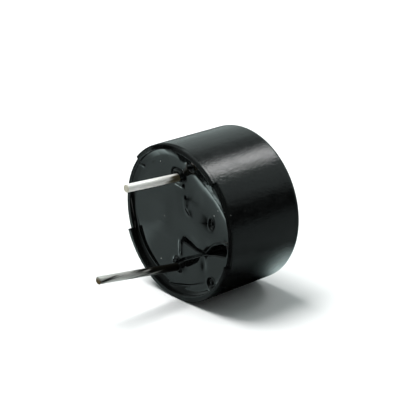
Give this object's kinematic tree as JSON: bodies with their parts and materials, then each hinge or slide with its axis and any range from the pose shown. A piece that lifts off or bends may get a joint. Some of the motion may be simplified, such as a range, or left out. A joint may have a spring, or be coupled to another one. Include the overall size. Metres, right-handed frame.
{
  "type": "magnetic buzzer",
  "caption": "Round through-hole magnetic buzzer: black moulded cup with a stepped rim, resin-sealed mouth and two tinned leads; its sounder and drive circuit are inside.",
  "frame": {"origin": "centre of the sound face, on the surface that it stands on", "axes": "+Z from the sound face towards the lead tips, along the cup's axis; +X towards the positive lead"},
  "size_m": [0.012, 0.012, 0.0143],
  "materials": {
    "housing": "satin",
    "compound": "gloss",
    "tinned_lead": "satin",
    "spring_steel": "satin",
    "iron": "satin",
    "ferrite": "matt",
    "pale_plastic": "matt",
    "winding": "gloss",
    "tape": "gloss",
    "insulator": "matt",
    "board": "satin",
    "copper": "satin",
    "component_black": "matt",
    "solder": "satin"
  },
  "bodies": {
    "root": {"housing": "housing", "diaphragm": "spring_steel", "armature_disc": "iron", "support_ring": "pale_plastic", "magnet_ring": "ferrite", "yoke_plate": "iron", "pole_core": "iron", "coil_bobbin": "pale_plastic", "feedback_winding": "winding", "drive_winding": "winding", "coil_tape": "tape", "coil_wires": "winding", "insulator_sheet": "insulator", "circuit_board": "board", "board_copper": "copper", "transistor_body": "component_black", "transistor_legs": "solder", "resistor_body": "component_black", "resistor_caps": "solder", "lead_solder": "solder", "wire_solder": "solder", "positive_lead": "tinned_lead", "negative_lead": "tinned_lead", "epoxy_seal": "compound"}
  },
  "joints": []
}
